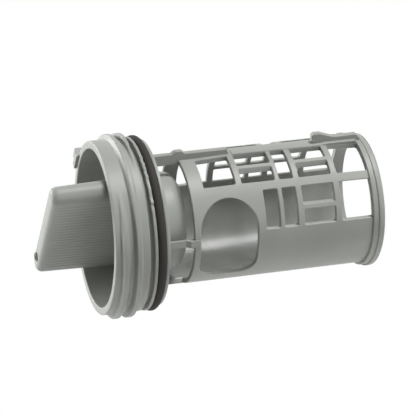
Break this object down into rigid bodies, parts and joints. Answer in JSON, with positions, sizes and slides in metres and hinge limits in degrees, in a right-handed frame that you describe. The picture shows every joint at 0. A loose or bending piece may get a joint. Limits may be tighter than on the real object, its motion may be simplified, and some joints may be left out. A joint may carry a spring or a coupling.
{
  "type": "washing machine drain filter",
  "caption": "Drain pump filter with a threaded twist cap, a grip bar in its cup, a sealing ring and a slotted lint cage.",
  "frame": {"origin": "on the filter's axis at the rear face of the cap's sealing flange, where it seats in the pump housing", "axes": "+X along the axis from the cap to the cage's open end, +Z towards the spine and locating rib on the cage's top, -Y towards the cage's inlet"},
  "size_m": [0.1088, 0.0598, 0.0598],
  "materials": {
    "cap_plastic": "satin moulded",
    "seal_rubber": "matte",
    "cage_plastic": "satin moulded"
  },
  "bodies": {
    "cap": {"threaded_cap": "cap_plastic", "seal_ring": "seal_rubber"},
    "cage": {"filter_cage": "cage_plastic"}
  },
  "joints": [
    {"name": "cage_turn", "type": "hinge", "parent": "cap", "child": "cage", "pos_m": [0, 0, 0], "axis": [1, 0, 0], "continuous": true}
  ]
}
